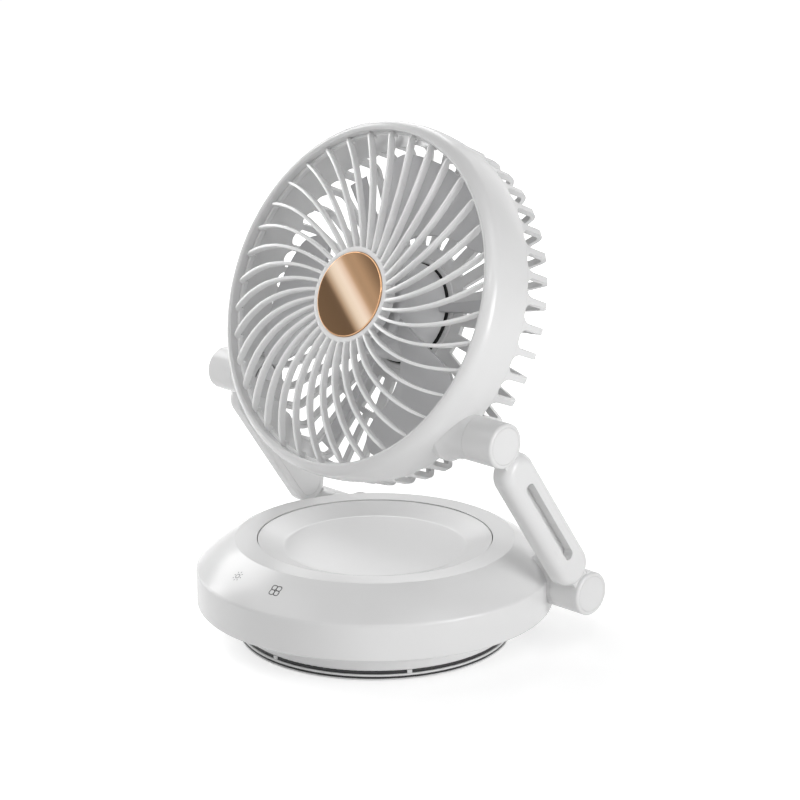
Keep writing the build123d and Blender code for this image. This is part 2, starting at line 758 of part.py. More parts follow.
cage_turns = [
    turn_by
    for turn_by in [slot_pitch * number for number in range(cage_slots)]
    if abs(180 - abs(180 - turn_by) - boss_angle) > boss_clear
]
inner_turns = [inner_pitch * (number + 0.75) for number in range(inner_slots)]
tube_radius = bearing_radius + 2.5
tube_front = -17.5
front_bearing = tube_front - bearing_width
rear_bearing = -38.0
with BuildPart(head_plane) as rear_grille:
    with BuildSketch(head_profile):
        with BuildLine():
            Polyline(
                (sleeve_bore, ring_back - close_fit),
                (rim_bore - 0.2, ring_back - close_fit),
                (rim_bore - 0.2, shoulder),
                (cage_radius + 0.4, shoulder),
                (cage_radius, -corner_start),
            )
            TangentArc((cage_radius, -corner_start), (cage_radius - cage_corner, -head_depth), tangent=(0, -1))
            Polyline(
                (cage_radius - cage_corner, -head_depth),
                (0, -head_depth),
                (0, -cage_floor),
                (cage_radius - cage_corner, -cage_floor),
            )
            TangentArc(
                (cage_radius - cage_corner, -cage_floor),
                (cage_radius - cage_wall, -corner_start),
                tangent=(1, 0),
            )
            Polyline(
                (cage_radius - cage_wall, -corner_start),
                (cage_radius - cage_wall, shoulder - cage_wall),
                (sleeve_bore, shoulder - cage_wall),
                (sleeve_bore, ring_back - close_fit),
            )
        make_face()
    revolve(axis=head_axis)
    with Locations(*[Location((0, 0, 0), (0, 0, -angle)) for angle in cage_turns]):
        add(cage_slot.part, mode=Mode.SUBTRACT)
    with Locations(*[Location((0, 0, 0), (0, 0, -angle)) for angle in inner_turns]):
        add(inner_slot.part, mode=Mode.SUBTRACT)
    for side in sides.values():
        turn_flare(side, pivots["upper"], upper_boss_root - 10, 4 * loose_fit, Mode.SUBTRACT)
    turn(
        [
            (mount_radius - mount_wall, -cage_floor),
            (mount_radius, -cage_floor),
            (mount_radius, mount_front),
            (mount_radius - mount_wall, mount_front),
        ],
        head_profile,
        head_axis,
    )
    turn(
        [
            (bearing_radius - 1, -cage_floor),
            (tube_radius, -cage_floor),
            (tube_radius, tube_front),
            (bearing_radius + running_fit, tube_front),
            (bearing_radius + running_fit, front_bearing),
            (bearing_radius - 1, front_bearing),
        ],
        head_profile,
        head_axis,
    )
    turn(
        [
            (0, -cage_floor),
            (bearing_radius + running_fit, -cage_floor),
            (bearing_radius + running_fit, rear_bearing + bearing_width),
            (0, rear_bearing + bearing_width),
        ],
        head_profile,
        head_axis,
        mode=Mode.SUBTRACT,
    )
keep("rear_grille", rear_grille)

# Motor parts fixed to the cage: core, coils, board and two bearings
stator_back = -33.0
stator_front = -22.0
tooth_count = 9
motor_board_top = -37.4
coil_circle = (stator_radius + tube_radius) / 2 + 0.5
coil_length = 7.0
with BuildPart(head_plane) as stator_core:
    with BuildSketch(head_plane.offset(stator_back + 2)):
        Circle(stator_radius)
        Circle(tube_radius + running_fit, mode=Mode.SUBTRACT)
        with PolarLocations(coil_circle, tooth_count):
            SlotOverall(coil_length, 4.2, mode=Mode.SUBTRACT)
    extrude(amount=stator_front - stator_back - 4)
keep("stator_core", stator_core)

with BuildPart(head_plane) as coils:
    for level in (stator_back, stator_front - 2 + running_fit):
        with BuildSketch(head_plane.offset(level)):
            with PolarLocations(coil_circle, tooth_count, start_angle=20):
                RectangleRounded(coil_length, 3.0, 1.0)
        extrude(amount=2 - running_fit)
keep("coils", coils)

with BuildPart(head_plane) as motor_board:
    with BuildSketch(head_plane.offset(motor_board_top)):
        Circle(mount_radius - mount_wall - loose_fit)
        Circle(tube_radius + close_fit, mode=Mode.SUBTRACT)
    extrude(amount=-board_thickness)
keep("motor_board", motor_board)

with BuildPart(head_plane) as bearings:
    for level in (rear_bearing, front_bearing):
        with BuildSketch(head_plane.offset(level)):
            Circle(bearing_radius)
            Circle(shaft_radius + running_fit, mode=Mode.SUBTRACT)
        extrude(amount=bearing_width)
keep("bearings", bearings)

# Turning parts: shaft with its clip, rotor cup, magnet ring and impeller
shaft_back = -38.8
shaft_front = -10.2
cup_front = -11.3
cup_wall = 1.2
cup_radius = impeller_hub_radius - 2.1
magnet_thickness = 2.0
cup_back = impeller_back + 0.6
with BuildPart(head_plane) as shaft:
    with BuildSketch(head_plane.offset(shaft_back)):
        Circle(shaft_radius)
    extrude(amount=shaft_front - shaft_back)
keep("shaft", shaft)

with BuildPart(head_plane) as shaft_clip:
    with BuildSketch(head_plane.offset(shaft_back)):
        Circle(shaft_radius + 1.2)
        Circle(shaft_radius, mode=Mode.SUBTRACT)
    extrude(amount=0.6)
keep("shaft_clip", shaft_clip)

with BuildPart() as rotor_cup:
    turn(
        [
            (shaft_radius, cup_front),
            (cup_radius, cup_front),
            (cup_radius, cup_back),
            (cup_radius - cup_wall, cup_back),
            (cup_radius - cup_wall, cup_front - cup_wall),
            (shaft_radius + 2.5, cup_front - cup_wall),
            (shaft_radius + 2.5, cup_front - 4),
            (shaft_radius, cup_front - 4),
        ],
        head_profile,
        head_axis,
    )
keep("rotor_cup", rotor_cup)

with BuildPart() as magnet_ring:
    turn(
        [
            (cup_radius - cup_wall, stator_front + 1),
            (cup_radius - cup_wall, stator_back + 0.5),
            (cup_radius - cup_wall - magnet_thickness, stator_back + 0.5),
            (cup_radius - cup_wall - magnet_thickness, stator_front + 1),
        ],
        head_profile,
        head_axis,
    )
keep("magnet_ring", magnet_ring)

# Impeller: a round hub and wide blades that climb forwards as they go anticlockwise
blade_root = impeller_hub_radius - 1.0
blade_rise = blade_front - blade_back
section_angle = blade_sweep * blade_thickness / (blade_rise + blade_thickness)
twist = blade_sweep - section_angle
hub_round = 4.0
blade_trail = [(0.504 * blade_tip, 18.0), (0.624 * blade_tip, 33.5), (0.865 * blade_tip, 65.0)]


def around(radius, clock):
    """Point at a radius, and at an angle clockwise from the top of the head."""
    return (radius * math.sin(math.radians(clock)), radius * math.cos(math.radians(clock)))


with BuildPart() as blade:
    with BuildSketch(Plane.XY.offset(blade_back - blade_thickness / 2)) as blade_section:
        with BuildLine():
            trail = blade_lead + blade_sweep
            Polyline(
                around(blade_root, trail),
                around(blade_tip + 4, trail),
                around(blade_tip + 4, trail - section_angle),
                around(blade_root, trail - section_angle),
                close=True,
            )
        make_face()
    add(
        Solid.extrude_linear_with_rotation(
            blade_section.sketch.faces()[0],
            center=(0, 0, blade_back - blade_thickness / 2),
            normal=(0, 0, blade_rise + blade_thickness),
            angle=twist,
        )
    )
    with BuildSketch(Plane.XY.offset(blade_back - 2)) as planform:
        with BuildLine():
            hub_lead = around(blade_root - 2, blade_lead)
            hub_trail = around(blade_root - 2, blade_lead + 20)
            tip_lead = around(blade_tip, blade_lead + blade_skew)
            tip_middle = around(blade_tip, blade_lead + blade_sweep / 2)
            tip_trail = around(blade_tip, blade_lead + blade_sweep)
            Spline(hub_trail, *[around(*point) for point in blade_trail], tip_trail)
            ThreePointArc(tip_trail, tip_middle, tip_lead)
            Polyline(tip_lead, hub_lead, hub_trail)
        make_face()
        fillet(planform.vertices().sort_by_distance((0, 0))[2:], 9.0)
    extrude(amount=blade_rise + 4, mode=Mode.INTERSECT)

with BuildPart(head_plane) as impeller:
    with BuildSketch(head_profile):
        with BuildLine():
            Line((0, impeller_front), (impeller_hub_radius - hub_round, impeller_front))
            TangentArc(
                (impeller_hub_radius - hub_round, impeller_front),
                (impeller_hub_radius, impeller_front - hub_round),
                tangent=(1, 0),
            )
            Polyline(
                (impeller_hub_radius, impeller_front - hub_round),
                (impeller_hub_radius, impeller_back),
                (impeller_hub_radius - 2, impeller_back),
                (impeller_hub_radius - 2, cup_front + close_fit),
                (shaft_radius + running_fit, cup_front + close_fit),
                (shaft_radius + running_fit, shaft_front + close_fit),
                (0, shaft_front + close_fit),
                (0, impeller_front),
            )
        make_face()
    revolve(axis=head_axis)
    with PolarLocations(0, blade_count):
        add(blade.part)
keep("impeller", impeller)
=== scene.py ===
import json
import math

import bpy
from mathutils import Matrix, Vector


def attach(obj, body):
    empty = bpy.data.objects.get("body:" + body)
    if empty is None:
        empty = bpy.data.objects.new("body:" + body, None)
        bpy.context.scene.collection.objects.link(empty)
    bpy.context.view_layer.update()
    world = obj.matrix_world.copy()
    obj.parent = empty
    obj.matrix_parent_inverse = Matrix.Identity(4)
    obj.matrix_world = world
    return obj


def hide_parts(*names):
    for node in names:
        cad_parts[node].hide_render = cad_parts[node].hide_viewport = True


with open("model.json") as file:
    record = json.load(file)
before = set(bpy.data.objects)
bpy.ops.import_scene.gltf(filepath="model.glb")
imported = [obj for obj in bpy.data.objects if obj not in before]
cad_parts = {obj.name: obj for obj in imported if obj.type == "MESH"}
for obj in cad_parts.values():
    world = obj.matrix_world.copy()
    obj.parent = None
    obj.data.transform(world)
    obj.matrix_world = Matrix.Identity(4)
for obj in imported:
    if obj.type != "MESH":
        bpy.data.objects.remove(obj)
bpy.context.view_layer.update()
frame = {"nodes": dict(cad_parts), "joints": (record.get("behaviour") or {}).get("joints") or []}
nodes = frame["nodes"]
mm = 0.001

# Base shell and dished panel: injection moulded shells in satin white plastic,
# with the fine even grain of a spark-eroded mould. The panel drops on to the
# shell's ledge, and the same plastic is used for the foot plate.
edge_softness = 0.45 * mm
grain_strength = 0.35


def socket(group, name, way, kind, value=None):
    """Add a named socket to a node group, with the value it starts from."""
    made = group.interface.new_socket(name, in_out=way, socket_type=kind)
    if value is not None:
        made.default_value = value


skin = bpy.data.node_groups.new("moulded_skin", "ShaderNodeTree")
socket(skin, "Colour", "INPUT", "NodeSocketColor", (0.8, 0.8, 0.8, 1))
socket(skin, "Tone Spread", "INPUT", "NodeSocketFloat", 0.03)
socket(skin, "Gloss", "INPUT", "NodeSocketFloat", 0.34)
socket(skin, "Gloss Spread", "INPUT", "NodeSocketFloat", 0.04)
socket(skin, "Grain Scale", "INPUT", "NodeSocketFloat", 2600.0)
socket(skin, "Colour", "OUTPUT", "NodeSocketColor")
socket(skin, "Roughness", "OUTPUT", "NodeSocketFloat")
socket(skin, "Grain", "OUTPUT", "NodeSocketFloat")
given = skin.nodes.new("NodeGroupInput")
result = skin.nodes.new("NodeGroupOutput")
place = skin.nodes.new("ShaderNodeTexCoord")
flow = skin.nodes.new("ShaderNodeTexNoise")
flow.inputs["Scale"].default_value = 22.0
flow.inputs["Detail"].default_value = 3.0
grain = skin.nodes.new("ShaderNodeTexNoise")
grain.inputs["Detail"].default_value = 2.0
centred = skin.nodes.new("ShaderNodeMath")
centred.operation = "SUBTRACT"
centred.inputs[1].default_value = 0.5
tone = skin.nodes.new("ShaderNodeMath")
tone.operation = "MULTIPLY_ADD"
tone.inputs[2].default_value = 1.0
shade = skin.nodes.new("ShaderNodeVectorMath")
shade.operation = "SCALE"
gloss = skin.nodes.new("ShaderNodeMath")
gloss.operation = "MULTIPLY_ADD"
skin.links.new(place.outputs["Object"], flow.inputs["Vector"])
skin.links.new(place.outputs["Object"], grain.inputs["Vector"])
skin.links.new(given.outputs["Grain Scale"], grain.inputs["Scale"])
skin.links.new(flow.outputs["Fac"], centred.inputs[0])
skin.links.new(centred.outputs[0], tone.inputs[0])
skin.links.new(given.outputs["Tone Spread"], tone.inputs[1])
skin.links.new(given.outputs["Colour"], shade.inputs[0])
skin.links.new(tone.outputs[0], shade.inputs["Scale"])
skin.links.new(centred.outputs[0], gloss.inputs[0])
skin.links.new(given.outputs["Gloss Spread"], gloss.inputs[1])
skin.links.new(given.outputs["Gloss"], gloss.inputs[2])
skin.links.new(shade.outputs[0], result.inputs["Colour"])
skin.links.new(gloss.outputs[0], result.inputs["Roughness"])
skin.links.new(grain.outputs["Fac"], result.inputs["Grain"])


def moulded(name, colour, tone_spread, roughness, grain_size, grain_depth, metallic=0.0):
    """A finish with the moulded skin: tone, gloss and grain vary, and sharp edges catch the light softly."""
    paint = bpy.data.materials.new(name)
    paint.use_nodes = True
    tree = paint.node_tree
    surface = tree.nodes["Principled BSDF"]
    surface.inputs["Metallic"].default_value = metallic
    cover = tree.nodes.new("ShaderNodeGroup")
    cover.node_tree = skin
    cover.inputs["Colour"].default_value = (*colour, 1)
    cover.inputs["Tone Spread"].default_value = tone_spread
    cover.inputs["Gloss"].default_value = roughness
    cover.inputs["Grain Scale"].default_value = 1.0 / grain_size
    edges = tree.nodes.new("ShaderNodeBevel")
    edges.samples = 4
    edges.inputs["Radius"].default_value = edge_softness
    relief = tree.nodes.new("ShaderNodeBump")
    relief.inputs["Strength"].default_value = grain_strength
    relief.inputs["Distance"].default_value = grain_depth
    tree.links.new(cover.outputs["Colour"], surface.inputs["Base Color"])
    tree.links.new(cover.outputs["Roughness"], surface.inputs["Roughness"])
    tree.links.new(cover.outputs["Grain"], relief.inputs["Height"])
    tree.links.new(edges.outputs["Normal"], relief.inputs["Normal"])
    tree.links.new(relief.outputs["Normal"], surface.inputs["Normal"])
    return paint


def dress(paint, *names):
    """Give CAD nodes a finish."""
    for name in names:
        nodes[name].data.materials.clear()
        nodes[name].data.materials.append(paint)


white_plastic = moulded("satin_white_plastic", (0.80, 0.80, 0.80), 0.03, 0.24, 0.4 * mm, 0.012 * mm)
dress(white_plastic, "base_shell", "dish_panel", "foot_plate")

# Touch marks: two small symbols printed on the front of the sloped shoulder,
# a dark four-leaf fan and a faint sun for the light. The ink lies a few
# hundredths of a millimetre proud and follows the curve of the shell.
shoulder_radius = 71.0 * mm
shoulder_height = 40.0 * mm
shoulder_slope = math.atan2(45.0 - 32.3, 80.0 - 62.6)
mark_line = 0.4 * mm
ink_lift = 0.04 * mm
leaf = 1.4 * mm
leaf_corner = 0.75 * leaf
leaf_middle = leaf - 0.5 * mark_line
sun_ring = 1.25 * mm
sun_corner = 1.2 * mm
ray_middle = 2.25 * mm
ray_length = 0.7 * mm
ray_count = 8


def pick(*pieces):
    """Select these pieces and nothing else, the first of them active."""
    bpy.ops.object.select_all(action="DESELECT")
    for piece in pieces:
        piece.select_set(True)
    if pieces:
        bpy.context.view_layer.objects.active = pieces[0]


def placed(origin, x_axis, y_axis, z_axis):
    """The move that takes flat work to an origin, with its axes along three directions."""
    return Matrix.Translation(origin) @ Matrix((x_axis, y_axis, z_axis)).transposed().to_4x4()


def flat_outline(half_width, corner, place):
    """A flat printed outline: a square with rounded corners is inset and its middle taken out."""
    pick()
    bpy.ops.mesh.primitive_plane_add(size=2 * half_width, location=place)
    bpy.ops.object.mode_set(mode="EDIT")
    bpy.ops.mesh.select_all(action="SELECT")
    bpy.ops.mesh.bevel(offset=corner, segments=6, affect="VERTICES")
    bpy.ops.mesh.inset(thickness=mark_line)
    bpy.ops.mesh.delete(type="FACE")
    bpy.ops.object.mode_set(mode="OBJECT")
    return bpy.context.object


def flat_dash(radius, length, turn):
    """A short printed stroke that points away from the middle of its symbol."""
    pick()
    bpy.ops.mesh.primitive_plane_add(size=1.0)
    stroke = bpy.context.object
    stroke.scale = (length, mark_line, 1)
    stroke.location = (radius * math.cos(turn), radius * math.sin(turn), 0)
    stroke.rotation_euler = (0, 0, turn)
    return stroke


def print_mark(name, strokes, azimuth, paint):
    """Join strokes drawn flat, lay them on the shoulder and give the ink its thickness."""
    pick(*strokes)
    mark = strokes[0]
    bpy.ops.object.transform_apply(location=True, rotation=True, scale=True)
    bpy.ops.object.join()
    mark.name = name
    mark.data.name = name
    bpy.ops.object.mode_set(mode="EDIT")
    bpy.ops.mesh.select_all(action="SELECT")
    bpy.ops.mesh.subdivide(number_cuts=1)
    bpy.ops.object.mode_set(mode="OBJECT")
    across = Vector((-math.sin(azimuth), math.cos(azimuth), 0))
    out = Vector((math.cos(azimuth), math.sin(azimuth), 0))
    upslope = -out * math.cos(shoulder_slope) + Vector((0, 0, math.sin(shoulder_slope)))
    spot = out * shoulder_radius + Vector((0, 0, shoulder_height))
    mark.matrix_world = placed(spot, across, upslope, across.cross(upslope))
    bpy.ops.object.transform_apply(location=True, rotation=True, scale=True)
    wrap = mark.modifiers.new("lie_on_shell", "SHRINKWRAP")
    wrap.target = nodes["base_shell"]
    wrap.wrap_mode = "ABOVE_SURFACE"
    wrap.offset = ink_lift
    bpy.ops.object.modifier_apply(modifier="lie_on_shell")
    body = mark.modifiers.new("ink_body", "SOLIDIFY")
    body.thickness = 1.5 * ink_lift
    bpy.ops.object.modifier_apply(modifier="ink_body")
    mark.data.materials.append(paint)
    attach(mark, "base")


dark_ink = moulded("dark_grey_ink", (0.045, 0.045, 0.047), 0.1, 0.5, 0.1 * mm, 0.004 * mm)
faint_ink = moulded("pale_grey_ink", (0.28, 0.28, 0.29), 0.1, 0.5, 0.1 * mm, 0.004 * mm)
leaves = [
    flat_outline(leaf, leaf_corner, (x * leaf_middle, y * leaf_middle, 0)) for x in (-1, 1) for y in (-1, 1)
]
print_mark("fan_mark", leaves, math.radians(279.0), dark_ink)
rays = [flat_dash(ray_middle, ray_length, math.tau * number / ray_count) for number in range(ray_count)]
sun = flat_outline(sun_ring, sun_corner, (0, 0, 0))
print_mark("light_mark", [sun, *rays], math.radians(258.75), faint_ink)

# Foot: a white pan with a short drum, black bands of soft plastic that fill the
# grooves between the flanges almost to their edges, rubber pads pressed in
# below and four steel screws. The charging socket's shell is steel as well.
# The pan's white is painted a little lighter than the satin white plastic, as painted light in the shadow
# that the shell's overhang casts on the drum.
pan_white_painted_lighter = moulded("satin_pan_white_painted_lighter", (0.82, 0.82, 0.82), 0.03, 0.4, 0.4 * mm, 0.012 * mm)
band_plastic = moulded("black_band_plastic", (0.012, 0.012, 0.013), 0.2, 0.45, 0.3 * mm, 0.01 * mm)
rubber = moulded("black_rubber", (0.03, 0.03, 0.03), 0.25, 0.75, 0.3 * mm, 0.03 * mm)
steel = moulded("turned_steel", (0.55, 0.55, 0.56), 0.08, 0.3, 0.2 * mm, 0.006 * mm, metallic=1.0)
dress(pan_white_painted_lighter, "base_pan")
dress(rubber, "rubber_feet")
dress(steel, "base_screws", "usb_socket")
ring_sides = 144
crease = math.radians(35)
band_inside = 59.6
band_sections = ((60.85, 0.92, 1.88), (60.45, 2.82, 4.28))


def turn_ring(name, corners, edge_round):
    """Turn a ring: a circle is pushed on from corner to corner of the section and closed up."""
    pick()
    bpy.ops.mesh.primitive_circle_add(vertices=ring_sides, radius=corners[0][0] * mm)
    ring = bpy.context.object
    ring.name = name
    bpy.ops.object.mode_set(mode="EDIT")
    bpy.ops.mesh.select_all(action="SELECT")
    bpy.ops.transform.translate(value=(0, 0, corners[0][1] * mm))
    for (radius, height), (next_radius, next_height) in zip(corners, corners[1:]):
        rise = (next_height - height) * mm
        grow = next_radius / radius
        bpy.ops.mesh.extrude_edges_move(TRANSFORM_OT_translate={"value": (0, 0, rise)})
        bpy.ops.transform.resize(value=(grow, grow, 1), center_override=(0, 0, 0))
    bpy.ops.mesh.select_all(action="DESELECT")
    bpy.ops.mesh.select_mode(type="EDGE")
    bpy.ops.mesh.select_non_manifold()
    bpy.ops.mesh.bridge_edge_loops()
    bpy.ops.mesh.select_mode(type="VERT")
    bpy.ops.mesh.select_all(action="SELECT")
    bpy.ops.mesh.normals_make_consistent(inside=False)
    bpy.ops.object.mode_set(mode="OBJECT")
    soften = ring.modifiers.new("soft_edges", "BEVEL")
    soften.width = edge_round
    soften.segments = 3
    bpy.ops.object.modifier_apply(modifier="soft_edges")
    return ring


bands = [
    turn_ring("soft_band", ((band_inside, low), (reach, low), (reach, high), (band_inside, high)), 0.08 * mm)
    for reach, low, high in band_sections
]
pick(*bands)
bpy.ops.object.join()
soft_bands = bands[0]
soft_bands.name = "soft_bands"
bpy.ops.object.shade_smooth_by_angle(angle=crease)
soft_bands.data.materials.append(band_plastic)
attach(soft_bands, "base")
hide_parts("foot_bands")

# Inside the base: circuit boards under a green solder mask, pale light chips
# on the ring board, and two cells in blue shrink wrap in a black tray.
board_green = moulded("solder_mask", (0.02, 0.13, 0.06), 0.5, 0.3, 0.8 * mm, 0.02 * mm)
phosphor = moulded("light_chip_face", (0.85, 0.75, 0.36), 0.1, 0.4, 0.2 * mm, 0.01 * mm)
cell_wrap = moulded("cell_wrap", (0.06, 0.17, 0.42), 0.12, 0.28, 0.5 * mm, 0.01 * mm)
dress(board_green, "light_board", "touch_board", "main_board")
dress(phosphor, "light_chips")
dress(cell_wrap, "battery_cells")
dress(band_plastic, "battery_tray")

# Arms: moulded in the same white plastic, each with a plate over its wire
# channel and a flush cap over the bolt head at both pivots. Bolts and nuts
# are turned steel, and the washers between the faces are natural nylon.
nylon = moulded("natural_nylon", (0.72, 0.70, 0.64), 0.06, 0.45, 0.3 * mm, 0.01 * mm)
for side in ("left", "right"):
    dress(white_plastic, f"{side}_arm", f"{side}_arm_cover", f"{side}_caps")
for level in ("lower", "upper"):
    dress(steel, f"{level}_left_bolt", f"{level}_right_bolt", f"{level}_nuts")
    dress(nylon, f"{level}_washers")

# Head rim and rear cage: two white mouldings that clip together behind the
# lip, the rim with its flared pivot bosses and the cage with its ring of slots.
dress(white_plastic, "head_rim", "rear_grille")

# Front grille: one white moulding of thirty-six thin swirl ribs between the
# hub ring and a clip ring behind the lip. The ribs bow forwards, their front
# edges are rounded, and each turns back at its outer end to the clip ring.
spin = next(joint for joint in frame["joints"] if joint["name"] == "fan_spin")
facing = Vector(spin["axis"]).normalized()
sideways = Vector((1, 0, 0))
on_head = placed(Vector(spin["pos_m"]), sideways, facing.cross(sideways), facing)
# Painted light: the grille's plastic is a lighter copy of the satin white plastic with a raised specular
# level, so that the ribs look more brightly lit than the other white mouldings.
grille_plastic_painted_lighter = moulded("white_plastic_painted_lighter", (0.94, 0.94, 0.94), 0.02, 0.24, 0.4 * mm, 0.012 * mm)
grille_plastic_painted_lighter.node_tree.nodes["Principled BSDF"].inputs["Specular IOR Level"].default_value = 0.9
rib_count = 36
rib_half_width = 0.68 * mm
rib_half_depth = 1.9 * mm
rib_round = 0.42 * mm
rib_radii = (20.4, 24.0, 30.0, 38.0, 47.5, 56.0, 64.0, 69.5, 72.3)
rib_turns = ((22.0, 16.9), (47.5, 6.9), (73.0, -4.4))
rib_fronts = ((22.0, 1.4), (47.5, 3.85), (73.0, -1.5))
rib_foot_radius = 73.0
rib_foot_drop = 2.6 * mm
rib_end_taper = 0.75
hub_corners = (
    (0.5, 0.0),
    (18.9, 0.0),
    (18.9, 1.2),
    (21.2, 1.2),
    (21.2, -5.0),
    (19.2, -5.0),
    (19.2, -2.0),
    (0.5, -2.0),
)
clip_corners = ((72.7, -4.6), (74.8, -4.6), (74.8, -7.0), (72.7, -7.0))


def through(known, at):
    """Value at a radius of the smooth line through three known (radius, value) pairs."""
    (a, va), (b, vb), (c, vc) = known
    return (
        va * (at - b) * (at - c) / ((a - b) * (a - c))
        + vb * (at - a) * (at - c) / ((b - a) * (b - c))
        + vc * (at - a) * (at - b) / ((c - a) * (c - b))
    )


def rib_point(radius):
    """Point on the middle line of the rib that starts nearest the top of the head."""
    clock = math.radians(through(rib_turns, radius))
    height = through(rib_fronts, radius) * mm - rib_half_depth
    return (radius * mm * math.sin(clock), radius * mm * math.cos(clock), height)


section = bpy.data.curves.new("rib_section", "CURVE")
section.dimensions = "2D"
outline = section.splines.new("POLY")
outline.points.add(15)
for number in range(16):
    corner = number // 4
    turn = math.radians(90 * corner + 30 * (number % 4))
    along = (1 if corner in (0, 3) else -1) * (rib_half_width - rib_round)
    deep = (1 if corner in (0, 1) else -1) * (rib_half_depth - rib_round)
    outline.points[number].co = (
        along + rib_round * math.cos(turn),
        deep + rib_round * math.sin(turn),
        0,
        1,
    )
outline.use_cyclic_u = True
section_line = bpy.data.objects.new("rib_section", section)
bpy.context.scene.collection.objects.link(section_line)
rib_line = bpy.data.curves.new("rib_line", "CURVE")
rib_line.dimensions = "3D"
rib_line.twist_mode = "Z_UP"
rib_line.bevel_mode = "OBJECT"
rib_line.bevel_object = section_line
rib_line.use_fill_caps = True
rib_line.resolution_u = 4
spline = rib_line.splines.new("BEZIER")
spline.bezier_points.add(len(rib_radii))
*rib_run, rib_foot = spline.bezier_points
for point, radius in zip(rib_run, rib_radii):
    point.co = rib_point(radius)
rib_run[-1].radius = rib_end_taper
rib_foot.co = Vector(rib_point(rib_foot_radius)) + Vector((0, 0, -rib_foot_drop))
rib_foot.radius = rib_end_taper
for point in spline.bezier_points:
    point.handle_left_type = "AUTO"
    point.handle_right_type = "AUTO"
grille = bpy.data.objects.new("swirl_grille", rib_line)
bpy.context.scene.collection.objects.link(grille)
pick(grille)
bpy.ops.object.convert(target="MESH")
grille = bpy.context.object
bpy.data.objects.remove(section_line)
bpy.ops.object.mode_set(mode="EDIT")
bpy.ops.mesh.select_all(action="SELECT")
bpy.ops.mesh.remove_doubles(threshold=0.001 * mm)
bpy.ops.mesh.normals_make_consistent(inside=False)
bpy.ops.mesh.spin(
    steps=rib_count - 1,
    dupli=True,
    angle=math.tau * (rib_count - 1) / rib_count,
    center=(0, 0, 0),
    axis=(0, 0, 1),
)
bpy.ops.object.mode_set(mode="OBJECT")
hub_ring = turn_ring("hub_ring", hub_corners, 0.35 * mm)
clip_ring = turn_ring("clip_ring", clip_corners, 0.2 * mm)
pick(grille, hub_ring, clip_ring)
bpy.ops.object.join()
grille.matrix_world = on_head
bpy.ops.object.transform_apply(location=True, rotation=True, scale=True)
bpy.ops.object.shade_smooth_by_angle(angle=crease)
grille.data.materials.clear()
grille.data.materials.append(grille_plastic_painted_lighter)
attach(grille, "head")
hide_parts("front_grille")

# Hub badge: a plain disc of rose bronze plate, polished on a lathe, so that
# very fine rings show in its gloss. It is bonded in the hub ring.
bronze = bpy.data.materials.new("polished_rose_bronze")
bronze.use_nodes = True
tree = bronze.node_tree
surface = tree.nodes["Principled BSDF"]
surface.inputs["Metallic"].default_value = 1.0
place = tree.nodes.new("ShaderNodeTexCoord")
lathe = tree.nodes.new("ShaderNodeMapping")
lathe.vector_type = "TEXTURE"
lathe.inputs["Location"].default_value = on_head.to_translation()
lathe.inputs["Rotation"].default_value = on_head.to_euler()
rings = tree.nodes.new("ShaderNodeTexWave")
rings.wave_type = "RINGS"
rings.rings_direction = "Z"
rings.inputs["Scale"].default_value = 700.0
rings.inputs["Distortion"].default_value = 1.5
rings.inputs["Detail"].default_value = 2.0
polish = tree.nodes.new("ShaderNodeMapRange")
polish.inputs["To Min"].default_value = 0.02
polish.inputs["To Max"].default_value = 0.03
plate = tree.nodes.new("ShaderNodeMix")
plate.data_type = "RGBA"
plate.inputs[6].default_value = (0.57, 0.34, 0.19, 1)
plate.inputs[7].default_value = (0.60, 0.36, 0.20, 1)
cut = tree.nodes.new("ShaderNodeBump")
cut.inputs["Strength"].default_value = 0.05
cut.inputs["Distance"].default_value = 0.0005 * mm
tree.links.new(place.outputs["Object"], lathe.inputs["Vector"])
tree.links.new(lathe.outputs["Vector"], rings.inputs["Vector"])
tree.links.new(rings.outputs["Fac"], polish.inputs["Value"])
tree.links.new(rings.outputs["Fac"], plate.inputs[0])
tree.links.new(rings.outputs["Fac"], cut.inputs["Height"])
tree.links.new(plate.outputs[2], surface.inputs["Base Color"])
tree.links.new(polish.outputs["Result"], surface.inputs["Roughness"])
tree.links.new(cut.outputs["Normal"], surface.inputs["Normal"])
dress(bronze, "hub_badge")

# Impeller: a pale grey moulding, a round hub with three wide blades, pressed
# on to the rotor cup.
# Its grey is partly the moulding's own pale grey and partly painted shade: it is set a little darker so that
# the inside of the head looks shaded behind the ribs.
impeller_plastic_with_painted_shade = moulded("pale_grey_plastic_with_painted_shade", (0.64, 0.64, 0.65), 0.03, 0.36, 0.4 * mm, 0.012 * mm)
dress(impeller_plastic_with_painted_shade, "impeller")

# Motor: a stacked steel core with enamelled copper coils on a black board, a
# sintered magnet ring in a drawn steel cup, two bearings and a ground shaft
# with its clip.
core_steel = moulded("stacked_core_steel", (0.33, 0.33, 0.34), 0.2, 0.45, 0.5 * mm, 0.02 * mm, metallic=1.0)
copper = moulded("enamelled_copper", (0.52, 0.20, 0.07), 0.25, 0.3, 0.4 * mm, 0.05 * mm, metallic=1.0)
ferrite = moulded("sintered_magnet", (0.05, 0.05, 0.055), 0.3, 0.6, 0.2 * mm, 0.02 * mm)
board_black = moulded("black_solder_mask", (0.012, 0.013, 0.013), 0.4, 0.4, 0.8 * mm, 0.02 * mm)
dress(core_steel, "stator_core")
dress(copper, "coils")
dress(ferrite, "magnet_ring")
dress(board_black, "motor_board")
dress(steel, "bearings", "shaft", "shaft_clip", "rotor_cup")

# Studio floor and surround: a pale matt floor that is seen as white apart from
# the object's shadow, in a plain white surround that gives little light of its
# own. The floor lets the lamp below it shine through.
scene = bpy.context.scene
scene.view_settings.view_transform = "Standard"
white = (1, 1, 1, 1)


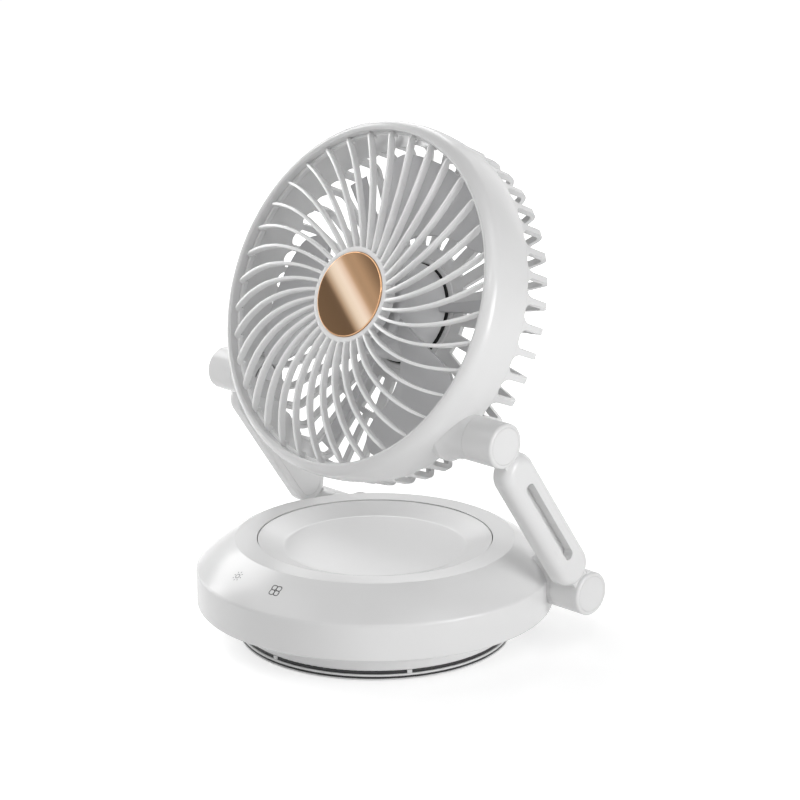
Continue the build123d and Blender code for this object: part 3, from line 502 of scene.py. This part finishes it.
def seen_directly(tree):
    """Output that is 1 where the camera, a reflection or glass shows the surface, and else 0."""
    path = tree.nodes.new("ShaderNodeLightPath")
    seen = path.outputs["Is Camera Ray"]
    for ray in ("Is Glossy Ray", "Is Transmission Ray"):
        either = tree.nodes.new("ShaderNodeMath")
        either.operation = "MAXIMUM"
        tree.links.new(seen, either.inputs[0])
        tree.links.new(path.outputs[ray], either.inputs[1])
        seen = either.outputs[0]
    return seen


pick()
bpy.ops.mesh.primitive_plane_add(size=12.0, location=(0, 0, 0))
floor = bpy.context.object
floor.name = "studio_floor"
floor_paint = bpy.data.materials.new("pale_floor")
floor_paint.use_nodes = True
tree = floor_paint.node_tree
tree.nodes.clear()
out = tree.nodes.new("ShaderNodeOutputMaterial")
matt = tree.nodes.new("ShaderNodeBsdfDiffuse")
matt.inputs["Color"].default_value = (0.85, 0.85, 0.85, 1)
glow = tree.nodes.new("ShaderNodeEmission")
glow.inputs["Color"].default_value = white
spot = tree.nodes.new("ShaderNodeTexCoord")
away = tree.nodes.new("ShaderNodeVectorMath")
away.operation = "LENGTH"
far = tree.nodes.new("ShaderNodeMapRange")
far.inputs["From Min"].default_value = 0.16
far.inputs["From Max"].default_value = 0.6
far.inputs["To Min"].default_value = 0.5
far.inputs["To Max"].default_value = 1.0
lift = tree.nodes.new("ShaderNodeMath")
lift.operation = "MULTIPLY"
both = tree.nodes.new("ShaderNodeAddShader")
tree.links.new(spot.outputs["Object"], away.inputs[0])
tree.links.new(away.outputs["Value"], far.inputs["Value"])
tree.links.new(seen_directly(tree), lift.inputs[0])
tree.links.new(far.outputs["Result"], lift.inputs[1])
tree.links.new(lift.outputs[0], glow.inputs["Strength"])
tree.links.new(matt.outputs[0], both.inputs[0])
tree.links.new(glow.outputs[0], both.inputs[1])
tree.links.new(both.outputs[0], out.inputs["Surface"])
floor.data.materials.append(floor_paint)
floor.visible_shadow = False

world = bpy.data.worlds.new("white_surround")
scene.world = world
world.use_nodes = True
tree = world.node_tree
tree.nodes.clear()
out = tree.nodes.new("ShaderNodeOutputWorld")
sky = tree.nodes.new("ShaderNodeBackground")
sky.inputs["Color"].default_value = white
level = tree.nodes.new("ShaderNodeMapRange")
level.inputs["To Min"].default_value = 0.03
level.inputs["To Max"].default_value = 1.0
tree.links.new(seen_directly(tree), level.inputs["Value"])
tree.links.new(level.outputs["Result"], sky.inputs["Strength"])
tree.links.new(sky.outputs[0], out.inputs["Surface"])

# Lamps: ten square soft boxes round the object, all turned to its middle. The
# last stands below the floor and lights the undersides, as a white table does.
middle = Vector((0, 0, 0.11))


def lamp(name, place, size, power):
    """A square soft box at a place, turned to face the middle of the object."""
    data = bpy.data.lights.new(name, "AREA")
    data.shape = "SQUARE"
    data.size = size
    data.energy = power
    box = bpy.data.objects.new(name, data)
    scene.collection.objects.link(box)
    box.location = place
    box.rotation_euler = (middle - Vector(place)).to_track_quat("-Z", "Y").to_euler()


lamp("high_left", (-0.523, -0.523, 0.981), 0.6, 1.6)
lamp("high_front", (0.0, -0.942, 0.76), 1.25, 2.6)
lamp("near_lens", (0.73, -0.52, 0.839), 0.18, 0.9)
lamp("low_right", (1.12, 0.16, 0.3), 0.45, 5.6)
lamp("high_right", (0.739, 0.0, 0.981), 0.6, 1.6)
lamp("back_left", (-0.666, 0.666, 0.76), 0.6, 2.6)
lamp("back_low", (-0.2, 1.06, 0.46), 0.6, 0.7)
lamp("low_left", (-1.07, -0.39, 0.26), 0.6, 3.0)
lamp("shoulder_left", (-0.975, 0.0, 0.7), 0.6, 4.4)
lamp("table_glow", (0.737, -0.737, -0.386), 0.6, 1.8)

# Camera: a long lens in front of the object's right shoulder and a little
# above it, so that upright lines stay almost upright.
lens = bpy.data.cameras.new("photo_lens")
lens.sensor_width = 36.0
lens.lens = 117.0
camera = bpy.data.objects.new("photo_camera", lens)
scene.collection.objects.link(camera)
camera.location = (0.7923, -0.7682, 0.4227)
camera_aim = Vector((0.00788, 0.00796, 0.1083))
camera.rotation_euler = (camera_aim - camera.location).to_track_quat("-Z", "Y").to_euler()
scene.camera = camera

# Mirror card: a small card that only reflections show, placed where the
# polished badge mirrors it to the lens. It is dark on one side and pale on the
# other, with a bright strip of window light between them.
badge = on_head.to_translation()
sight = (badge - camera.location).normalized()
card_size = 0.11
card_reach = 0.75
strip_half_spread = 0.0285
card_edge = (0.30, 0.30, 0.30, 1)
scene.view_layers[0].update()
card_right = camera.matrix_world.col[0].to_3d().reflect(facing)
card_up = camera.matrix_world.col[1].to_3d().reflect(facing)
card_spot = badge + card_reach * sight.reflect(facing)
pick()
bpy.ops.mesh.primitive_plane_add(size=card_size)
card = bpy.context.object
card.name = "mirror_card"
card.matrix_world = placed(card_spot, card_right, card_up, card_right.cross(card_up))
card_paint = bpy.data.materials.new("window_strip")
card_paint.use_nodes = True
tree = card_paint.node_tree
tree.nodes.clear()
out = tree.nodes.new("ShaderNodeOutputMaterial")
glow = tree.nodes.new("ShaderNodeEmission")
spot = tree.nodes.new("ShaderNodeTexCoord")
across = tree.nodes.new("ShaderNodeVectorMath")
across.operation = "DOT_PRODUCT"
across.inputs[1].default_value = (0.88, 0.47, 0)
spread = tree.nodes.new("ShaderNodeMapRange")
spread.inputs["From Min"].default_value = -strip_half_spread
spread.inputs["From Max"].default_value = strip_half_spread
strip = tree.nodes.new("ShaderNodeValToRGB")
strip.color_ramp.elements[0].position = 0.0
strip.color_ramp.elements[0].color = card_edge
strip.color_ramp.elements[1].position = 1.0
strip.color_ramp.elements[1].color = card_edge
for stop, tint in (
    (0.34, (0.24, 0.24, 0.24)),
    (0.375, (0.70, 0.75, 0.80)),
    (0.46, (1.40, 1.85, 2.50)),
    (0.54, (1.55, 2.11, 3.00)),
    (0.61, (1.30, 1.55, 2.00)),
    (0.65, (0.86, 0.88, 0.90)),
    (0.70, (0.70, 0.72, 0.74)),
    (0.78, (0.76, 0.77, 0.78)),
    (0.91, (0.42, 0.42, 0.42)),
):
    strip.color_ramp.elements.new(stop).color = (*tint, 1)
tree.links.new(spot.outputs["Object"], across.inputs[0])
tree.links.new(across.outputs["Value"], spread.inputs["Value"])
tree.links.new(spread.outputs["Result"], strip.inputs["Fac"])
tree.links.new(strip.outputs["Color"], glow.inputs["Color"])
tree.links.new(glow.outputs[0], out.inputs["Surface"])
card.data.materials.append(card_paint)
card.visible_camera = False
card.visible_diffuse = False
card.visible_shadow = False
card.visible_transmission = False
